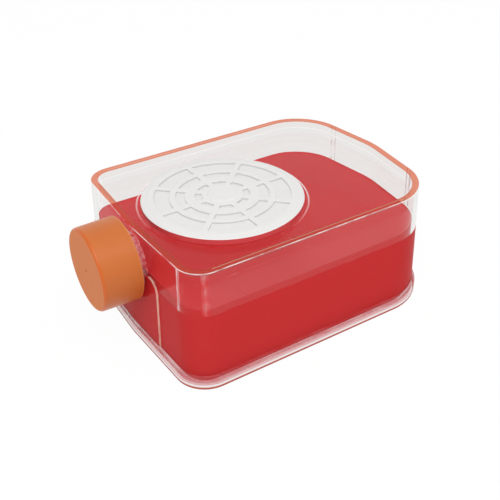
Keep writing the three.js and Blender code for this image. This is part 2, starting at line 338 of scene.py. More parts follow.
def outline_face(name, z, grow):
    """A flat face in the shape of the flask's outline, grown outwards and facing up."""
    s = box_sizes()
    half_l, half_w = s.length / 2, s.width / 2
    piece = start(name, bpy.ops.mesh.primitive_plane_add, size=1, location=(0, 0, z))
    bpy.ops.transform.resize(value=(s.length, s.width, 1), center_override=(0, 0, z))
    bpy.ops.mesh.bisect(plane_co=(0, 0, z), plane_no=(0, 1, 0))
    pick("EDGE", lambda e: all(near(v.co.y, 0) for v in e.verts))
    bpy.ops.mesh.dissolve_edges(use_verts=False)
    shift(lambda c: c.y > half_w / 2, (0, grow, 0))
    shift(lambda c: c.y < -half_w / 2, (0, -grow, 0))
    ends = ((1, s.far_bulge, s.far_radius, 26), (-1, s.neck_bulge, s.neck_radius, 18))
    for side, bulge, _, _ in ends:
        slope = bulge / half_w
        slant = math.hypot(1, slope)
        shift(
            lambda c, side=side: c.x * side > half_l / 2 and abs(c.y) > half_w / 2,
            (side * grow * (slant - slope), 0, 0),
        )
        shift(
            lambda c, side=side: c.x * side > half_l / 2 and near(c.y, 0),
            (side * (bulge + grow * slant), 0, 0),
        )
    for side, bulge, radius, segments in ends:
        tilt = math.atan2(bulge, half_w)
        corner = math.pi / 4 + tilt / 2
        pick("VERT", lambda v, side=side: v.co.x * side > 0 and abs(v.co.y) > half_w * 0.9)
        bpy.ops.mesh.bevel(
            affect="VERTICES", offset=(radius + grow) / math.tan(corner), segments=segments
        )
        pick("VERT", lambda v, side=side: v.co.x * side > half_l * 0.9 and near(v.co.y, 0))
        bpy.ops.mesh.bevel(
            affect="VERTICES", offset=(s.ridge_radius + grow) * math.tan(tilt), segments=8
        )
    bpy.ops.mesh.select_mode(type="FACE")
    select_all()
    bpy.ops.mesh.normals_make_consistent(inside=False)
    if next(iter(bmesh.from_edit_mesh(piece.data).faces)).normal.z < 0:
        bpy.ops.mesh.flip_normals()
    return piece


def close_bottom():
    """Fills the open loop at the foot of the mesh being edited and leaves its face selected."""
    pick("EDGE", lambda e: e.is_boundary)
    bpy.ops.mesh.edge_face_add()
    bpy.ops.mesh.select_mode(type="FACE")


def draw_profile(name, points, closed):
    """Draws a line through points by extruding one vertex, and selects it all."""
    piece = start(name, bpy.ops.mesh.primitive_plane_add, size=MM, location=points[0])
    bpy.ops.mesh.merge(type="CENTER")
    for a, b in zip(points, points[1:] + (points[:1] if closed else [])):
        extrude(b - a)
    select_all()
    return piece


def turned(name, profile, axis, centre, steps, closed=False):
    """A revolve. profile holds (radius, station) pairs along the axis; centre is the axis's place
    across it."""
    along = Vector((1, 0, 0)) if axis == "X" else Vector((0, 0, 1))
    out = Vector((0, 0, 1)) if axis == "X" else Vector((1, 0, 0))
    points = [Vector(centre) + out * r + along * s for r, s in profile]
    piece = draw_profile(name, points, closed)
    bpy.ops.mesh.spin(steps=steps, angle=math.tau, center=centre, axis=along)
    tidy_mesh()
    return piece


def turned_on_vent(name, profile, steps=160, closed=False):
    return turned(name, profile, "Z", (*VENT_CENTRE, 0), steps, closed)


def turned_on_neck(name, profile, steps=112):
    return turned(name, profile, "X", (0, 0, NECK_Z), steps)


def arc(centre_r, centre_s, radius, first, last, steps=5):
    """Profile points on an arc between two angles in degrees, as (radius, station) pairs."""
    angles = [math.radians(first + (last - first) * k / steps) for k in range(steps + 1)]
    return [(centre_r + radius * math.cos(a), centre_s + radius * math.sin(a)) for a in angles]


def combine(piece, tool, operation):
    """Joins or cuts a piece with a tool, which is used up."""
    make_active(piece)
    modifier = piece.modifiers.new("Boolean", "BOOLEAN")
    modifier.object = tool
    modifier.operation = operation
    modifier.solver = "EXACT"
    bpy.ops.object.modifier_apply(modifier=modifier.name)
    bpy.data.objects.remove(tool, do_unlink=True)


def finish_piece(piece, finishes, body, node, choose=None, angle=32):
    """Shades, weights the normals, gives the finishes, puts the piece on its body and hides the CAD
    part it stands in for. The first finish is the plain one; choose names the finish of a face."""
    make_active(piece)
    bpy.ops.object.shade_smooth_by_angle(angle=math.radians(angle))
    weigh = piece.modifiers.new("Weighted normals", "WEIGHTED_NORMAL")
    weigh.keep_sharp = True
    weigh.weight = 90
    bpy.ops.object.modifier_apply(modifier=weigh.name)
    piece.data.materials.clear()
    for material in finishes.values():
        piece.data.materials.append(material)
    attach(piece, body)
    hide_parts(node)
    if choose:
        order = list(finishes)
        for face in piece.data.polygons:
            face.material_index = order.index(choose(face))


def finish_node(name, material):
    """Gives a CAD node its finish."""
    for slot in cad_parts[name].material_slots:
        slot.material = material


# ---- material helpers ----


def new_material(name):
    """A material, what adds nodes to it, and the place on the piece that its patterns follow."""
    material = bpy.data.materials.new(name)
    add = node_adder(material)
    return material, add, add("ShaderNodeTexCoord").outputs["Object"]


def node_adder(owner):
    """Empties the tree of a material or world, and hands back the function that adds a node to it,
    sets the node's properties, and links or sets its sockets."""
    owner.use_nodes = True
    tree = owner.node_tree
    tree.nodes.clear()

    def add(kind, links=None, **settings):
        made = tree.nodes.new(kind)
        for key, value in settings.items():
            setattr(made, key, value)
        for socket, source in (links or {}).items():
            target = made.inputs[socket]
            if isinstance(source, bpy.types.NodeSocket):
                tree.links.new(source, target)
            else:
                target.default_value = source
        return made

    return add


def per_metre(millimetres):
    """Pattern scale that gives features of a size."""
    return 1 / (millimetres * MM)


def done(material, add, surface):
    """Ends a material with its surface."""
    add("ShaderNodeOutputMaterial", {"Surface": surface})
    return material


def drifting(add, point, millimetres, detail, tone, share):
    """A tone that drifts down to a share of its brightness in soft patches of a size, and the
    pattern that it follows."""
    patches = add(
        "ShaderNodeTexNoise", {"Vector": point, "Scale": per_metre(millimetres), "Detail": detail}
    ).outputs["Fac"]
    shade = add(
        "ShaderNodeMix",
        {"Factor": patches, "A": darker(tone, share), "B": tuple(tone)},
        data_type="RGBA",
    )
    return shade.outputs["Result"], patches


def partly_clear(material, add, clearness, body, tint=CLEAR):
    """Ends a material as a mix of its own look and what shows straight through it."""
    through = add("ShaderNodeBsdfTransparent", {"Color": tint})
    mixed = add(
        "ShaderNodeMixShader", {0: clearness, 1: body.outputs["BSDF"], 2: through.outputs["BSDF"]}
    )
    return done(material, add, mixed.outputs["Shader"])


def seen_directly(add):
    """1 for what the camera sees itself, in a gloss or through a clear wall, and 0 for light."""
    path = add("ShaderNodeLightPath").outputs
    seen = path["Is Camera Ray"]
    for other in ("Is Glossy Ray", "Is Transmission Ray"):
        either = add("ShaderNodeMath", {0: seen, 1: path[other]}, operation="MAXIMUM")
        seen = either.outputs["Value"]
    return seen


# ---- finishes ----


def clear_polystyrene(name, tint, level, bend=False):
    """General-purpose polystyrene, injection moulded in a polished tool: water-clear and thin
    enough to see straight through, with the high index that puts a gloss on it, which grows
    towards a glancing view. level is how much of that gloss the face keeps: little where the
    light is soft, and none where the medium wets it. A face that bends has the medium against the
    wall's back, so the red reaches almost to the wall's outer edge."""
    material, add, point = new_material(name)
    waves = add("ShaderNodeTexNoise", {"Vector": point, "Scale": per_metre(28), "Detail": 1.0})
    wavy = add(
        "ShaderNodeBump", {"Height": waves.outputs["Fac"], "Strength": 0.15, "Distance": 0.05 * MM}
    ).outputs["Normal"]
    slant = add("ShaderNodeLayerWeight", {"Blend": 0.5, "Normal": wavy})
    steep = add("ShaderNodeMath", {0: slant.outputs["Facing"], 1: 5.0}, operation="POWER")
    share = add(
        "ShaderNodeMath",
        {0: steep.outputs["Value"], 1: 0.95 * level, 2: 0.052 * level},
        operation="MULTIPLY_ADD",
    )
    through = add("ShaderNodeBsdfTransparent", {"Color": tint}).outputs["BSDF"]
    if bend:
        inward = add("ShaderNodeBsdfRefraction", {"Color": tint, "Roughness": 0.0, "IOR": 1.59})
        inside = add("ShaderNodeNewGeometry").outputs["Backfacing"]
        through = add(
            "ShaderNodeMixShader", {0: inside, 1: inward.outputs["BSDF"], 2: through}
        ).outputs["Shader"]
    gloss = add("ShaderNodeBsdfGlossy", {"Color": CLEAR, "Roughness": 0.06, "Normal": wavy})
    mixed = add(
        "ShaderNodeMixShader", {0: share.outputs["Value"], 1: through, 2: gloss.outputs["BSDF"]}
    )
    return done(material, add, mixed.outputs["Shader"])


def painted_glow_edge(name, tone, tint, clearness):
    """The cut edge of a clear wall that stands in red liquid, given a painted glow: its colour
    stands in for the light carried up inside the wall that comes out here, and what lies behind
    shows through it tinted."""
    material, add, point = new_material(name)
    shade, _ = drifting(add, point, 22, 2.0, tone, 0.75)
    body = add(
        "ShaderNodeBsdfPrincipled",
        {"Base Color": shade, "Roughness": 0.35, "Specular IOR Level": 0.2},
    )
    return partly_clear(material, add, clearness, body, tint)


def painted_light_strip(name, tone, clearest, faintest, towards=None, grain=9):
    """A painted light strip for the fine roundings and lines of a polished clear moulding: its tone
    stands in for the light each gathers from a wide angle, and in some uses for the medium's red
    light; some of what lies behind shows in it. It is painted stronger and weaker by turns in soft
    patches; given towards, as on the vent's ring, it is painted stronger towards one side."""
    material, add, point = new_material(name)
    if towards:
        place = add(
            "ShaderNodeVectorMath", {0: point, 1: towards}, operation="DOT_PRODUCT"
        ).outputs["Value"]
        low, high = 5 * MM, -34 * MM
    else:
        place = add(
            "ShaderNodeTexNoise", {"Vector": point, "Scale": per_metre(grain), "Detail": 2.0}
        ).outputs["Fac"]
        low, high = 0.4, 0.62
    share = add(
        "ShaderNodeMapRange",
        {"Value": place, "From Min": low, "From Max": high, "To Min": faintest, "To Max": clearest},
    )
    body = add(
        "ShaderNodeBsdfPrincipled",
        {"Base Color": tone, "Roughness": 0.2, "Specular IOR Level": 0.5},
    )
    return partly_clear(material, add, share.outputs["Result"], body)


def flange_with_painted_light():
    """The welded flange, with painted light: its milky tone in fine level runs stands in for light
    caught between its two skins, and bands by height paint a thin line where the wall's foot was
    welded and the medium's red light above it. The runs are drawn coarser than real ones, so that
    they show."""
    material, add, point = new_material("welded polystyrene flange")
    stretched = add(
        "ShaderNodeMapping",
        {"Vector": point, "Scale": (per_metre(60), per_metre(60), per_metre(0.9))},
    )
    runs = add(
        "ShaderNodeTexNoise", {"Vector": stretched.outputs["Vector"], "Scale": 1.0, "Detail": 3.0}
    ).outputs["Fac"]
    clearness = add(
        "ShaderNodeMapRange",
        {"Value": runs, "From Min": 0.35, "From Max": 0.65, "To Min": 0.5, "To Max": 0.15},
    )
    faint_runs = add(
        "ShaderNodeMapRange", {"Value": runs, "From Min": 0.4, "From Max": 0.7, "To Max": 0.4}
    )
    height = add("ShaderNodeSeparateXYZ", {"Vector": point})
    rise = add(
        "ShaderNodeMapRange", {"Value": height.outputs["Z"], "From Max": box_sizes().flange_height}
    )
    painted_light_bands = add("ShaderNodeValToRGB", {"Fac": rise.outputs["Result"]})
    ramp = painted_light_bands.color_ramp
    ramp.elements[0].position, ramp.elements[0].color = 0.28, linear("#E2D6D5")
    ramp.elements[1].position, ramp.elements[1].color = 1.0, linear("#C43F43")
    for place, tone in ((0.48, "#F3EDEC"), (0.55, "#D27A7E"), (0.62, "#C5494D"), (0.8, "#D98489")):
        ramp.elements.new(place).color = linear(tone)
    painted_haze_mix = add(
        "ShaderNodeMix",
        {
            "Factor": faint_runs.outputs["Result"],
            "A": painted_light_bands.outputs["Color"],
            "B": tuple(colours().painted_light_haze),
        },
        data_type="RGBA",
    )
    body = add(
        "ShaderNodeBsdfPrincipled",
        {"Base Color": painted_haze_mix.outputs["Result"], "Roughness": 0.25, "Specular IOR Level": 0.4},
    )
    return partly_clear(material, add, clearness.outputs["Result"], body)


def moulded_polypropylene(name, tone, roughness, gloss, mottle):
    """Polypropylene: satin with a very fine grain where the tool was spark-eroded, duller where it
    was blasted, shinier where it was polished, and slowly mottled where the melt flowed."""
    material, add, point = new_material(name)
    shade, _ = drifting(add, point, 9, 3.0, tone, 1 - mottle)
    grain = add("ShaderNodeTexNoise", {"Vector": point, "Scale": per_metre(0.35), "Detail": 2.0})
    relief = add(
        "ShaderNodeBump", {"Height": grain.outputs["Fac"], "Strength": 0.2, "Distance": 0.03 * MM}
    )
    shader = add(
        "ShaderNodeBsdfPrincipled",
        {
            "Base Color": shade,
            "Roughness": roughness,
            "Specular IOR Level": gloss,
            "Normal": relief.outputs["Normal"],
        },
    )
    return done(material, add, shader.outputs["BSDF"])


def white_polypropylene(name, tone):
    """White polypropylene, injection moulded: the melt's flow hardly shows in it."""
    return moulded_polypropylene(name, tone, 0.5, 0.3, 0.03)


def orange_polypropylene(name, tone, roughness, gloss):
    """Orange polypropylene, injection moulded: the melt's flow shows a little in its colour."""
    return moulded_polypropylene(name, tone, roughness, gloss, 0.06)


def stretched_film():
    """Stretched fluoropolymer film: a dull, porous white whose fibres show as a soft cloudiness."""
    material, add, point = new_material("stretched porous film")
    shade, fibres = drifting(add, point, 0.8, 5.0, colours().film, 0.94)
    relief = add("ShaderNodeBump", {"Height": fibres, "Strength": 0.3, "Distance": 0.05 * MM})
    shader = add(
        "ShaderNodeBsdfPrincipled",
        {"Base Color": shade, "Roughness": 0.85, "Normal": relief.outputs["Normal"]},
    )
    return done(material, add, shader.outputs["BSDF"])


def closed_foam():
    """Closed-cell polyethylene foam, die cut: dull, with the cells' fine pits."""
    material, add, point = new_material("die-cut polyethylene foam")
    cells = add("ShaderNodeTexVoronoi", {"Vector": point, "Scale": per_metre(0.6)})
    pits = add(
        "ShaderNodeBump",
        {"Height": cells.outputs["Distance"], "Strength": 0.4, "Distance": 0.1 * MM},
    )
    shader = add(
        "ShaderNodeBsdfPrincipled",
        {"Base Color": tuple(colours().foam), "Roughness": 0.7, "Normal": pits.outputs["Normal"]},
    )
    return done(material, add, shader.outputs["BSDF"])


def red_medium():
    """Growth medium coloured by a red pH dye: dense enough to hide the floor, with a wet face. Its
    upward surface is painted a lighter red than its sides: painted light on the top and painted
    shade on the sides."""
    material, add, point = new_material("dyed culture medium")
    shade, _ = drifting(add, point, 35, 1.0, colours().medium, 0.88)
    facing = add("ShaderNodeNewGeometry").outputs["Normal"]
    upward = add("ShaderNodeSeparateXYZ", {"Vector": facing}).outputs["Z"]
    # Side faces take the darker red: painted shade.
    side = add("ShaderNodeMapRange", {"Value": upward, "From Min": 0.9, "From Max": 0.4})
    tone = add(
        "ShaderNodeMix",
        {"Factor": side.outputs["Result"], "A": shade, "B": tuple(colours().depth)},
        data_type="RGBA",
    )
    shader = add(
        "ShaderNodeBsdfPrincipled",
        {"Base Color": tone.outputs["Result"], "Roughness": 0.1, "IOR": 1.12},
    )
    return done(material, add, shader.outputs["BSDF"])


def backdrop_paper():
    """Matt white paper. What is seen of it directly is almost evenly lit, so that it stays pale
    and keeps a soft shadow."""
    material, add, _ = new_material("matt white paper")
    even_light = 0.96
    share = add("ShaderNodeMath", {0: seen_directly(add), 1: even_light}, operation="MULTIPLY")
    paper = add("ShaderNodeBsdfDiffuse", {"Color": tuple(colours().backdrop), "Roughness": 0.5})
    glow = add("ShaderNodeEmission", {"Color": CLEAR, "Strength": 1.0})
    mixed = add(
        "ShaderNodeMixShader",
        {0: share.outputs["Value"], 1: paper.outputs["BSDF"], 2: glow.outputs["Emission"]},
    )
    return done(material, add, mixed.outputs["Shader"])


# ---- heights shared by the pieces ----


def wall_grow(z):
    """How far the drafted walls stand out at a height, against their tops."""
    s = box_sizes()
    return s.draft * (s.height - z) / s.height


def plate_top():
    return box_sizes().height - box_sizes().plate_drop


def plate_under():
    return plate_top() - box_sizes().plate


def wall_foot():
    return box_sizes().floor + box_sizes().gap


def shore():
    """The height on the walls where the medium's look begins, a little under its level."""
    return MEDIUM_LEVEL - 0.6 * MM


def neck_wall_x():
    """Where the neck wall's outer face lies at the neck's height."""
    s = box_sizes()
    return -(s.length / 2 + s.neck_bulge + wall_grow(NECK_Z))


# ---- the clear mouldings ----


def walled_box():
    """Walls with their draft, the rim, the recessed top plate and the room for the medium."""
    s = box_sizes()
    foot, under = wall_foot(), plate_under()
    piece = outline_face("clear_flask_body", foot, wall_grow(foot))
    weld = s.flange_height + WELD_HEIGHT
    for low, high in ((foot, weld), (weld, shore()), (shore(), s.height)):
        step_in(wall_grow(low) - wall_grow(high), high - low)
    for width in (RIM_FLAT, RIM_STEP, s.rim - RIM_FLAT - RIM_STEP):
        step_in(width)
    rim_draft = 0.15 * MM
    step_in(rim_draft, -s.plate_drop)
    close_bottom()
    step_in(s.wall)
    for low, high in ((foot, shore()), (shore(), under)):
        step_in(wall_grow(low) - wall_grow(high), low - high)
    round_loop(s.height, 0.4 * MM)
    round_loop(plate_top(), PLATE_ROUNDING)
    round_loop(under, 1.6 * MM)
    round_loop(foot, 0.25 * MM, segments=2)
    tidy_mesh()
    return piece


def neck_tube():
    """The neck: a rounded mouth, the ring the cap stops at, the root and the thread."""
    s, n = box_sizes(), neck_sizes()
    radius = n.bore_mouth + n.neck_wall
    mouth_edge, ring_edge, root = 0.6 * MM, 0.3 * MM, 1.8 * MM
    ring, ring_r = CAP_HIGH[0] + s.gap, radius + 2.4 * MM
    end = neck_wall_x() + s.wall / 2
    profile = [(0, MOUTH_X)]
    profile += arc(radius - mouth_edge, MOUTH_X + mouth_edge, mouth_edge, -90, 0)
    profile += [(radius, ring)]
    profile += arc(ring_r - ring_edge, ring + ring_edge, ring_edge, -90, 0, 3)
    profile += arc(ring_r - ring_edge, ring + 0.5 * MM, ring_edge, 0, 90, 3)
    profile += arc(radius + root, neck_wall_x() - 1.5 * MM, root, 180, 90)[1:]
    profile += [(radius + root, end), (0, end)]
    tube = turned_on_neck("neck_tube", profile)
    combine(tube, thread("neck_thread", radius, n.thread, MOUTH_X + THREAD_LEAD), "UNION")
    return tube


def thread(name, root, height, front, inward=False):
    """A right-hand ridge round the neck's axis. Its section is drawn once and swept by a Screw
    modifier."""
    way = -1 if inward else 1
    low = -0.15 * MM
    section = [(low, -0.9), (low, 0.9), (height, 0.35), (height, -0.35)]
    points = [Vector((front + s * MM, 0, root + way * r)) for r, s in section]
    piece = draw_profile(name, points, closed=True)
    bpy.ops.mesh.remove_doubles(threshold=DOUBLES)
    bpy.ops.object.mode_set(mode="OBJECT")
    sweep = piece.modifiers.new("Sweep", "SCREW")
    sweep.axis = "X"
    sweep.angle = THREAD_TURNS * math.tau
    sweep.screw_offset = THREAD_TURNS * neck_sizes().pitch
    sweep.steps = sweep.render_steps = 120
    bpy.ops.object.modifier_apply(modifier=sweep.name)
    bpy.ops.object.mode_set(mode="EDIT")
    select_all()
    bpy.ops.transform.translate(value=(0, 0, NECK_Z))
    bpy.ops.mesh.fill_holes(sides=0)
    tidy_mesh()
    return piece


def neck_bore():
    """The solid that is cut away to open the neck."""
    n = neck_sizes()
    end = neck_wall_x() + box_sizes().wall + 2 * MM
    profile = [(0, MOUTH_X - MM), (n.bore_mouth, MOUTH_X - MM), (n.bore_mouth, MOUTH_X + MM)]
    profile += [(n.bore_root, neck_wall_x()), (n.bore_root, end), (0, end)]
    return turned_on_neck("neck_bore", profile)


def neck_pad():
    """The pad proud of the neck wall, cut from a grown copy of the box."""
    s = box_sizes()
    low, high = PAD_FOOT, NECK_Z - 0.5 * MM
    block = rounded_block(
        "pad_block",
        middle=(-s.length / 2, 0, (low + high) / 2),
        sides=(s.length / 4, 2 * PAD_HALF, high - low),
        edge=6 * MM,
        segments=10,
    )
    bpy.ops.mesh.bisect(plane_co=(0, 0, shore()), plane_no=(0, 0, 1))
    tidy_mesh()
    combine(block, box_solid("pad_skin", PAD_RISE), "INTERSECT")
    combine(block, box_solid("pad_back", -s.wall / 2), "DIFFERENCE")
    return block


def box_solid(name, grow):
    """The whole box filled in, grown or shrunk all round."""
    s = box_sizes()
    foot = wall_foot()
    piece = outline_face(name, foot, wall_grow(foot) + grow)
    step_in(wall_grow(foot) - wall_grow(s.height), s.height - foot)
    close_bottom()
    tidy_mesh()
    return piece


def vent_collar():
    """The low ring round the grille."""
    v = vent_sizes()
    inner = GRILLE_R + v.collar_clear
    low, high = plate_top() - SINK, plate_top() + v.collar_height
    return flat_ring("vent_collar", inner, inner + v.collar, low, high, 0.25 * MM)


def vent_hole():
    """The solid that is cut away to open the plate under the film."""
    radius = FILM_R - vent_sizes().seat
    low, high = plate_under() - MM, plate_top() + 3 * MM
    return turned_on_vent("vent_hole", [(0, low), (radius, low), (radius, high), (0, high)])


def vent_seat():
    """The ledge the film is welded to."""
    low, high, edge = plate_top() - SINK, plate_top() + vent_sizes().seat_rise, 0.2 * MM
    profile = [(0, low), (FILM_R, low), (FILM_R, high - edge), (FILM_R - edge, high), (0, high)]
    return turned_on_vent("vent_seat", profile)


def build_body():
    """The body: the box, the pad, the open neck, and the vent's seat, hole and collar. Its outer
    wall is divided where its look changes."""
    piece = walled_box()
    for tool, operation in (
        (neck_pad, "UNION"),
        (neck_tube, "UNION"),
        (neck_bore, "DIFFERENCE"),
        (vent_seat, "UNION"),
        (vent_hole, "DIFFERENCE"),
        (vent_collar, "UNION"),
    ):
        combine(piece, tool(), operation)
    bpy.ops.object.mode_set(mode="EDIT")
    for place in FAR_PAINTED_LINE:
        for side in (-1, 1):
            select_all()
            bpy.ops.mesh.bisect(plane_co=(0, side * place, 0), plane_no=(0, 1, 0))
    tidy_mesh()
    hue = colours()
    tint, glow, pale = tuple(hue.styrene), tuple(hue.painted_rim_tint), tuple(hue.painted_light_haze)
    pink = linear("#EBC9C6")
    finishes = {
        "plain": clear_polystyrene("clear polystyrene, plain", CLEAR, 0.25),
        "plate": clear_polystyrene("clear polystyrene, plate top", tint, 0.25),
        "outer": clear_polystyrene("clear polystyrene, outer wall", tint, 0.65),
        "backed": clear_polystyrene("clear polystyrene, backed by medium", tint, 0.16, True),
        "neck": clear_polystyrene("clear polystyrene, neck end over medium", tint, 0.18, True),
        "dry": clear_polystyrene("clear polystyrene, dry inside", CLEAR, 0.6),
        "wetted": clear_polystyrene("clear polystyrene, wetted", CLEAR, 0.0),
        # The rim's glow and the paler step in it are painted: a painted glow and a painted
        # highlight line.
        "glow": painted_glow_edge("glowing rim", tuple(hue.painted_rim_light), glow, 0.7),
        "lip": painted_glow_edge("step in the glowing rim", linear("#F3C2B0"), glow, 0.6),
        # Painted light strips: highlights on the rim's roundings, the corner and far-wall lines,
        # the pad's edge, the neck root's glints and the vent ring, which is painted stronger away
        # from the neck; the weld strip is painted with the medium's red light.
        "rounding": painted_light_strip("polystyrene rounding", pale, 0.9, 0.35),
        "faint": painted_light_strip("faint line at a far corner", linear("#D6D2D1"), 0.8, 0.35),
        "quiet": clear_polystyrene("clear polystyrene, neck end", tint, 0.25),
        "pad": painted_light_strip("edge of the neck pad", linear("#F4DCC6"), 0.7, 0.25),
        "far": painted_light_strip("line at a far corner", linear("#BF9A97"), 0.75, 0.4),
        "root": painted_light_strip("neck root rounding", linear("#EFA6AA"), 1.0, 0.55, grain=1.8),
        "soft": painted_light_strip("soft line at a corner", pink, 0.9, 0.6),
        "softer": painted_light_strip("edge of a corner's line", pink, 0.96, 0.8),
        "ring": painted_light_strip("vent ring rounding", pale, 1.0, 0.25, (0.53, 0.85, 0)),
        "weld": painted_light_strip("welded foot of the wall", linear("#D67478"), 0.85, 0.6),
    }
    finish_piece(piece, finishes, "flask", "flask_body", body_finish)
    piece.visible_shadow = False


def body_finish(face):
    """Which finish a face of the body has, by its place."""
    s, c, normal = box_sizes(), face.center, face.normal
    from_vent = math.hypot(c.x - VENT_CENTRE[0], c.y)
    from_neck = math.hypot(c.y, c.z - NECK_Z)
    upright = abs(normal.z) < 0.1
    inwards = normal.x * c.x + normal.y * c.y < 0
    neck_end = c.x < 0.7 * s.neck_radius - s.length / 2
    # The rim's top takes a painted glow, and its step and roundings take painted highlights.
    if c.z > s.height - 0.5 * MM:
        if c.z < s.height - 0.02 * MM and not inwards:
            return "rounding"
        return "lip" if in_rim_step(c) else "glow"
    if c.x < ROOT_X and from_neck < ROOT_REACH:
        if c.x < TUBE_X or normal.x > 0.9:
            return "plain"
        if abs(normal.x) < 0.95:
            return "root"
    over_plate = c.z > plate_top() + 0.05 * MM and normal.z > 0.3
    if over_plate and RING_BAND[0] < from_vent < RING_BAND[1]:
        return "ring"
    if upright and inwards and c.z < plate_under():
        return "wetted" if c.z < shore() else "plain" if neck_end else "dry"
    on_pad = c.x < PAD_X and PAD_FOOT + 0.2 * MM < c.z < NECK_Z and abs(normal.x) < 0.7
    if on_pad and abs(c.y) < PAD_HALF + 0.1 * MM:
        return "pad"
    if upright and from_vent > VENT_REACH and (c.z > plate_top() or not inwards):
        return wall_finish(c, inwards, neck_end)
    return "plate" if near(c.z, plate_top(), PLATE_ROUNDING) and normal.z > 0.3 else "plain"


def wall_finish(c, inwards, neck_end):
    """Which finish the outside of the walls has, from the rim's inner side down to the weld."""
    if inwards:
        return "plate"
    if c.z > shore():
        return painted_corner_line(c) or ("quiet" if neck_end else "outer")
    # The wall over the flange is painted pink with the medium's red light.
    if c.z < box_sizes().flange_height + WELD_HEIGHT:
        return "weld"
    return "neck" if neck_end else "backed"


def in_rim_step(c):
    """Whether a point lies in the narrow step along the middle of the rim's long sides."""
    s = box_sizes()
    depth = s.width / 2 - abs(c.y)
    return RIM_FLAT < depth < RIM_FLAT + RIM_STEP and abs(c.x) < s.length / 2 - s.far_radius


def painted_corner_line(c):
    """The finish of the outer wall's painted upright lines of light, which lie where a corner runs
    into its walls and at each side of the far wall. None between them."""
    s = box_sizes()
    if c.x > 0 and FAR_PAINTED_LINE[0] < abs(c.y) < FAR_PAINTED_LINE[1]:
        return "far"
    radius, lines = s.far_radius, FAR_CORNER_PAINTED_LINES
    if c.x < 0:
        radius, lines = s.neck_radius, NECK_CORNER_PAINTED_LINES
    across = abs(c.y) - (s.width / 2 - radius)
    along = abs(c.x) - (s.length / 2 - radius)
    if across > 0 and along > 0:
        turn = math.degrees(math.atan2(across, along))
        for least, most, finish in lines:
            if least < turn < most:
                return finish
    return None


def build_base():
    """The base: a floor, a flange outside the walls and a locating rib inside them."""
    s = box_sizes()
    foot = wall_foot()
    rib_height, rib_width = 1.6 * MM, 1.1 * MM
    piece = outline_face("clear_base_tray", 0, wall_grow(foot) + s.gap + s.flange)
    extrude((0, 0, PAINTED_GLOW_HEIGHT))
    extrude((0, 0, s.flange_height - PAINTED_GLOW_HEIGHT))
    step_in(s.flange)
    extrude((0, 0, s.floor - s.flange_height))
    step_in(s.wall + 2 * s.gap)
    extrude((0, 0, rib_height))
    step_in(rib_width)
    extrude((0, 0, -rib_height))
    close_bottom()
    round_loop(0, 0.7 * MM)
    round_loop(s.flange_height, FLANGE_ROUNDING, segments=3)
    tidy_mesh()
    hue = colours()
    glow, body = tuple(hue.painted_rim_tint), tuple(hue.painted_base_glow)
    # Painted light on the base: the foot's dark red is a painted glow that also stands in for the
    # contact shadow, the rounding is a painted highlight, the flange is painted with milky light
    # and red bands, and the floor under the wall's foot is painted with the medium's red light.
    finishes = {
        "sheet": clear_polystyrene("clear polystyrene, base", tuple(hue.styrene), 0.35),
        "glow": painted_glow_edge("glowing base edge", body, glow, 0.25),
        "flange": flange_with_painted_light(),
        "rounding": painted_light_strip("base rounding", linear("#D0787D"), 0.6, 0.3),
        "footing": painted_light_strip("floor under the wall's foot", linear("#CC5A5E"), 0.5, 0.3),
    }
    finish_piece(piece, finishes, "flask", "base_tray", base_finish)


def base_finish(face):
    """Which finish a face of the base has, by its place."""
    s, c, normal = box_sizes(), face.center, face.normal
    rounding = s.flange_height - FLANGE_ROUNDING - 0.02 * MM
    outer = normal.x * c.x + normal.y * c.y > 0 and c.z < wall_foot() + MM
    if outer and 0.02 * MM < c.z < PAINTED_GLOW_HEIGHT:
        return "glow"
    if outer and c.z < rounding and abs(normal.z) < 0.1:
        return "flange"
    if c.z > rounding:
        return "rounding"
    whole_floor = face.area > (20 * MM) ** 2
    return "footing" if near(c.z, s.floor) and not whole_floor else "sheet"


# ---- the vent ----


def flat_ring(name, inner, outer, low, high, edge):
    """A flat ring with rounded upper edges."""
    profile = [(inner, low), (outer, low)]
    profile += arc(outer - edge, high - edge, edge, 0, 90, 4)
    profile += arc(inner + edge, high - edge, edge, 90, 180, 4)
    return turned_on_vent(name, profile, closed=True)


